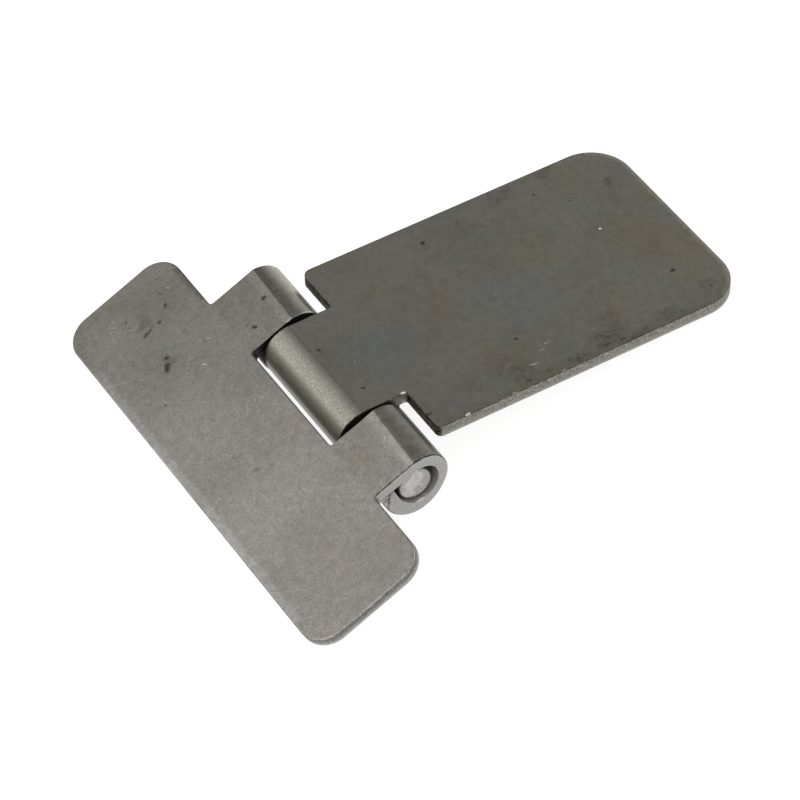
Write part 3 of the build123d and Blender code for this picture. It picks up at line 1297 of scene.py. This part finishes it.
CROSS_SKIN = SkinFinish(
    name="cross_leaf_skin",
    pale=(0.274, 0.263, 0.243),
    deep=(0.245, 0.235, 0.217),
    roughness=0.38,
    grain=0.27,
    cloud=0.1,
    scratch=0.6,
    seed=13.0,
    # Painted light: the cross leaf is lighter at its near end and darker at its far end.
    painted_shade_tone=0.74,
    painted_light_tone=1.05,
    mark=(0.022, 0.02, 0.017),
    fleck=(0.7, 0.69, 0.67),
    tint_end=40.0,
    tinges=(
        Tinge((1.04, 0.98, 0.965), 0.13, 0.7),
        Tinge((0.96, 0.975, 0.90), 0.11, 0.8),
        Tinge((0.84, 0.835, 0.82), 0.4, 0.4),
    ),
    stains=(
        Stain((0.245, 0.222, 0.206), (Mark(-22, -30, 9, 0.5), Mark(-14, -46, 7, 0.5), Mark(-30, 2, 8, 0.35))),
        Stain((0.210, 0.204, 0.181), (Mark(-18, 44, 8, 0.5), Mark(-28, 30, 7, 0.4), Mark(-12, 12, 7, 0.3))),
        Stain((0.315, 0.302, 0.281), (
            Mark(-30, 10, 14, 0.5), Mark(-20, -18, 11, 0.4), Mark(-31, 44, 7, 0.45), Mark(-34, -18, 13, 0.4),
            Mark(-34, 28, 8, 0.25),
        )),
    ),
    bands=(
        # Painted light and shade on the knuckles: darker over the flat and after the creases, lighter before
        # them, and a painted highlight along the far knuckle's crown.
        Band(-9.5, -7.5, 0.8, 2.3, (0.92, 0.92, 0.92), 0.2),
        Band(0.8, 2.3, 2.8, 3.3, (1.1, 1.1, 1.1), 0.3),
        Band(-0.5, 1.8, 2.8, 3.3, (1.2, 1.21, 1.23), 0.3, far=-10.0),
        Band(3.25, 3.6, 4.0, 6.2, (0.72, 0.71, 0.70), 0.2),
        Band(3.3, 3.8, 4.6, 7.5, (0.92, 0.915, 0.91), 0.2, far=-10.0),
        Band(4.2, 8.4, 14.0, 16.0, (1.9, 1.87, 1.83), 0.15, near=10.0),
        Band(4.0, 7.0, 10.0, 14.0, (0.8, 0.78, 0.76), 0.2, far=-10.0),
    ),
    rims=(
        # Painted highlight along the near knuckle's rounded end, and a dark broken line on the same edge.
        RimLine(0.6, -8.2, 20.0, (1.4, 1.39, 1.37), 0.8, far=-30.0, solid=0.3),
        RimLine(0.3, -8.2, 20.0, (0.2, 0.19, 0.18), 0.6, far=-30.0, solid=0.8),
        # Painted highlight along the far knuckle's near end.
        RimLine(0.35, 2.0, 20.0, (1.7, 1.68, 1.65), 0.5, near=10.0, far=22.0),
        RimLine(0.25, -8.9, -8.3, (0.7, 0.69, 0.67), 0.5),
        RimLine(1.8, -11.0, -8.3, (0.66, 0.65, 0.64), 0.3, near=37.0, far=49.0, solid=0.3),
        # Painted highlights along the bar's rounded edges, then painted shade along the near half of its
        # outer edge.
        RimLine(0.35, -37.0, -8.9, (1.42, 1.42, 1.4), 0.75),
        RimLine(2.7, -40.0, -35.4, (1.25, 1.28, 1.34), 0.35, near=-46.0, far=40.0, solid=0.5),
        RimLine(0.3, -40.0, -37.9, (0.5, 0.49, 0.48), 0.7, far=0.0),
    ),
    blots=(
        Mark(-24.6, 28.7, 0.85, 0.85, 1.7, 60), Mark(-23.5, 30.9, 0.8, 0.75), Mark(-25.3, 46.2, 0.45, 0.5),
        Mark(-23.5, 39.7, 0.6, 0.6, 1.6, 25), Mark(-22.2, 40.0, 0.25, 0.75, 5.0, 25),
        Mark(-19.6, 40.1, 0.45, 0.7, 1.6, 10), Mark(-15.5, 46.2, 0.4, 0.7), Mark(-30.1, 20.9, 0.4, 0.6),
        Mark(-16.2, 42.6, 0.35, 0.7, 2.0, 60), Mark(1.4, 26.2, 0.5, 0.85, 1.5, 20),
        Mark(-4.3, 21.5, 0.5, 0.85, 1.4, 160), Mark(-5.5, 23.1, 0.3, 0.6), Mark(-24.2, 8.8, 0.4, 0.4),
        Mark(-23.9, -8.8, 0.4, 0.4), Mark(-22.0, -25.3, 0.4, 0.4),
        Mark(-22.5, 42.5, 1.3, 0.25, 1.8, 20), Mark(-23.0, 29.4, 1.2, 0.25, 1.5),
    ),
    flecks=(
        Mark(-13.4, 46.2, 0.18, 0.4, 2.0, -40), Mark(-17.9, 22.6, 0.15, 0.7, 3.5, -48),
        Mark(-23.2, 36.5, 0.15, 0.4, 2.5, -45), Mark(-13.5, 27.6, 0.15, 0.35, 2.0, -30),
    ),
)

STRAP_SKIN = SkinFinish(
    name="strap_leaf_skin",
    # The strap's steel is darker than the cross leaf's, partly its own greener scale and partly painted shade
    # for the less light it catches.
    pale=(0.217, 0.212, 0.188),
    deep=(0.193, 0.190, 0.170),
    roughness=0.4,
    grain=0.16,
    cloud=0.06,
    scratch=0.2,
    seed=71.0,
    mark=(0.03, 0.024, 0.018),
    fleck=BRIGHT_STEEL_AND_GLINT,
    tint_end=3.2,
    tinges=(
        Tinge((1.05, 0.95, 0.83), 0.07, 0.55),
        Tinge((0.92, 0.995, 1.0), 0.06, 0.35),
        Tinge((0.82, 0.78, 0.72), 0.4, 0.35),
    ),
    stains=(
        Stain((0.215, 0.190, 0.142), (
            Mark(-78, 2, 10, 0.6), Mark(-31, -2.5, 7, 0.45), Mark(-55, -6, 7, 0.45, 1.5),
            Mark(-20, -18, 8, 0.4), Mark(-27, 14, 8, 0.4), Mark(-74, -20, 8, 0.45), Mark(-82, 16, 8, 0.45),
        )),
        Stain((0.182, 0.200, 0.190), (Mark(-45, 4, 10, 0.45), Mark(-12, 2, 9, 0.5))),
        Stain((0.085, 0.076, 0.045), (
            Mark(-54.8, 24.4, 3.4, 0.7, 1.6), Mark(-33.0, 24.4, 3.0, 0.6, 1.6, 60),
            Mark(-47.0, 27.6, 1.4, 0.7, 3.0), Mark(-70.0, 26.5, 1.8, 0.5, 3.0),
            Mark(-82.5, 23.5, 1.5, 0.5, 2.0, 20), Mark(-60.0, -26.0, 1.6, 0.4, 2.5),
            Mark(-60.0, 27.4, 1.2, 0.6, 4.0), Mark(-36.5, 27.4, 1.0, 0.6, 3.0),
        ), 0.85),
        Stain((0.085, 0.085, 0.07), (
            Mark(-82.0, -14.9, 1.5, 0.6, 1.3, 30), Mark(-72.0, -26.0, 1.4, 0.4, 2.4),
        ), 0.3),
        Stain((0.13, 0.09, 0.055), (
            Mark(-30.0, 20.0, 3.0, 0.4, 1.6, 60), Mark(-58.0, 20.0, 3.2, 0.4), Mark(-62.0, -8.0, 3.5, 0.25),
            Mark(-79.0, 8.0, 3.5, 0.25), Mark(-22.0, 22.0, 2.5, 0.3), Mark(-47.0, -21.0, 3.0, 0.3),
        ), 0.8),
    ),
    bands=(
        # Painted light and shade on the knuckle: a darker line before the crease, a painted highlight band
        # after it, a painted shade band and a thin band of painted reflection of the floor.
        Band(1.9, 2.4, 2.7, 3.2, (0.82, 0.82, 0.81), 0.3),
        Band(2.7, 4.7, 5.7, 7.3, (2.07, 2.03, 1.96), 0.75, 0.12),
        Band(6.1, 7.9, 9.1, 10.6, (0.86, 0.81, 0.73), 0.25, 0.3),
        Band(9.2, 11.5, 13.0, 14.0, (1.25, 1.22, 1.16), 0.3),
    ),
    rims=(
        RimLine(1.5, -95.0, -83.0, (1.55, 1.54, 1.52), 0.5, solid=0.2),
        RimLine(0.35, -88.0, 20.0, (0.62, 0.60, 0.56), 0.95),
        RimLine(3.5, -86.0, -10.0, (0.9, 0.87, 0.82), 0.3, near=20.0, solid=0.2),
    ),
    blots=(
        Mark(-36.6, -21.9, 0.6, 0.9), Mark(-65.8, -22.0, 0.4, 0.75), Mark(-78.1, 15.1, 0.55, 0.85, 1.5, 20),
        Mark(-1.9, 9.4, 0.45, 0.9), Mark(0.4, -5.5, 0.6, 0.7), Mark(-37.6, 14.5, 0.4, 0.7),
        Mark(-82.5, 23.7, 0.45, 0.6), Mark(-9.5, 23.7, 0.5, 0.7, 1.6), Mark(-53.0, 26.6, 0.4, 0.6, 2.5),
        Mark(-57.0, 26.9, 0.35, 0.6, 2.0), Mark(-33.0, 26.8, 0.35, 0.6, 2.5), Mark(-71.5, -16.0, 0.35, 0.6),
        # Mark(10.0, -15.6) is a painted shadow on the strap's knuckle at its far end, where it sits close to
        # the far outer knuckle.
        Mark(10.0, -15.6, 1.1, 0.85, 3.0),
    ),
    flecks=(
        # Mark(-16.6, 28.2) is a small burr on the near edge whose glint is painted bright.
        Mark(-72.2, -4.6, 0.22, 1.0), Mark(-16.6, 28.2, 0.5, 1.0), Mark(-8.2, 15.2, 0.35, 0.9, 1.6),
        Mark(-36.5, 23.0, 0.16, 0.4, 7.0, 175), Mark(-40.5, 20.5, 0.15, 0.35, 6.0, 5),
        Mark(-42.5, 19.0, 0.14, 0.3, 5.0, 15), Mark(-4.5, 1.8, 0.15, 0.3, 3.0, 60),
        Mark(-28.5, 28.3, 0.14, 0.45, 5.0), Mark(-41.0, 28.3, 0.12, 0.4, 6.0),
    ),
)

CROSS_ROLL = Roll()
# The strap's plate is a touch thinner, so that its sharper lower rim stays above the table.
STRAP_ROLL = Roll(
    plate=2.96, pin_clearance=0.44, bore_width=10.48, end_lean=(1.0, 0.4), thinned=0.1, crown=6.4,
    crease_turn=5.0,
)

CROSS_EDGE = ShearedFinish(
    name="cross_leaf_edge",
    plate=CROSS_ROLL.plate,
    zones=((0.0, (0.56, 0.55, 0.535)), (0.1, (0.50, 0.49, 0.475)), (0.15, (0.18, 0.173, 0.16)),
           (0.48, (0.22, 0.213, 0.2)), (0.66, (0.33, 0.32, 0.305)), (1.0, (0.38, 0.37, 0.355))),
    tab_zones=((0.0, (0.05, 0.048, 0.045)), (0.06, (0.07, 0.067, 0.063)), (0.1, (0.40, 0.39, 0.375)),
               (0.2, (0.37, 0.36, 0.345)), (1.0, (0.35, 0.34, 0.325))),
    tab_from=-8.4,
    tear_from=2.3,
    tear_to=1.8,
    crumb=2.4,
    tear=0.4,
    dashes=0.5,
    # Painted shade on the outer knuckles' inner ends, beside the strap's knuckle.
    shut_shade_to=17.0,
    roughness=0.4,
    seed=5.0,
)

STRAP_EDGE = ShearedFinish(
    name="strap_leaf_edge",
    plate=STRAP_ROLL.plate,
    zones=((0.0, (0.31, 0.295, 0.262)), (0.15, (0.255, 0.243, 0.216)), (0.7, (0.245, 0.232, 0.207)),
           (0.85, (0.32, 0.305, 0.277)), (1.0, (0.355, 0.338, 0.309))),
    # Painted shade: the strap's knuckle ends sit shut in beside the outer knuckles, so their tones are dark.
    tab_zones=((0.0, (0.15, 0.138, 0.118)), (1.0, (0.16, 0.15, 0.13))),
    tab_from=-8.0,
    tear_from=3.4,
    tear_to=0.6,
    crumb=2.2,
    tear=0.45,
    dashes=0.2,
    # Painted shade on the shoulders' edges, which face the outer knuckles.
    shaded_seat=ShadedSeat(along=-9.0, outward=15.9, tone=0.2, chip=(0.25, 0.225, 0.19)),
    roughness=0.42,
    seed=29.0,
)

CROSS_BORE = BoreFinish(
    name="cross_leaf_bore",
    # The cross leaf's bore is painted lighter than the strap's, partly for the light that reaches into its
    # open end.
    tone=(0.52, 0.505, 0.48),
    rust=(0.46, 0.42, 0.38),
    metallic=0.5,
    roughness=0.45,
    seed=3.0,
    # A painted highlight on the rounded rim at the bottom of the near bore.
    glint=Mark(22.2, -34.3, 0.4, 1.0, 3.4),
)

STRAP_BORE = BoreFinish(
    name="strap_leaf_bore",
    tone=(0.30, 0.295, 0.28),
    rust=(0.29, 0.255, 0.22),
    metallic=0.6,
    roughness=0.5,
    seed=17.0,
    # A painted highlight inside the strap's knuckle.
    glint=Mark(20.0, 4.0, 0.6, 0.4, 4.0, 90),
)

PIN_STEEL = PinFinish(
    name="hinge_pin_drawn",
    bar=(0.22, 0.21, 0.195),
    end=(0.40, 0.385, 0.365),
    blotch=(0.37, 0.335, 0.32),
    bright=(0.52, 0.50, 0.49),
    roughness=0.45,
)


def main() -> None:
    """Builds the studio and the hinge's pieces in order, and logs the number of faces of each piece."""
    logging.basicConfig(level=logging.INFO, format="%(name)s: %(message)s")
    studio = Studio()
    studio.build_camera()
    studio.build_floor()
    studio.build_light()
    log.info("studio ready")
    cross = CrossLeaf(
        "cross_leaf", Body.CROSS, "cross_leaf_face", False, CROSS_SKIN, CROSS_EDGE, CROSS_BORE,
        creases=(CreaseRun(-34.5, -16.7, -1.06, -0.24), CreaseRun(16.7, 34.5, -0.5, 0.16)), roll=CROSS_ROLL,
    )
    strap = StrapLeaf(
        "strap_leaf", Body.STRAP, "strap_leaf_face", True, STRAP_SKIN, STRAP_EDGE, STRAP_BORE,
        creases=(CreaseRun(-15.6, 15.6, -0.2, -0.4),), roll=STRAP_ROLL, flush_round=0.12, inner_round=0.2,
    )
    for piece in (cross, strap, HingePin(PIN_STEEL)):
        made = piece.build()
        log.info("%s: %d faces", made.name, len(made.data.polygons))


if __name__ == "__main__":
    main()
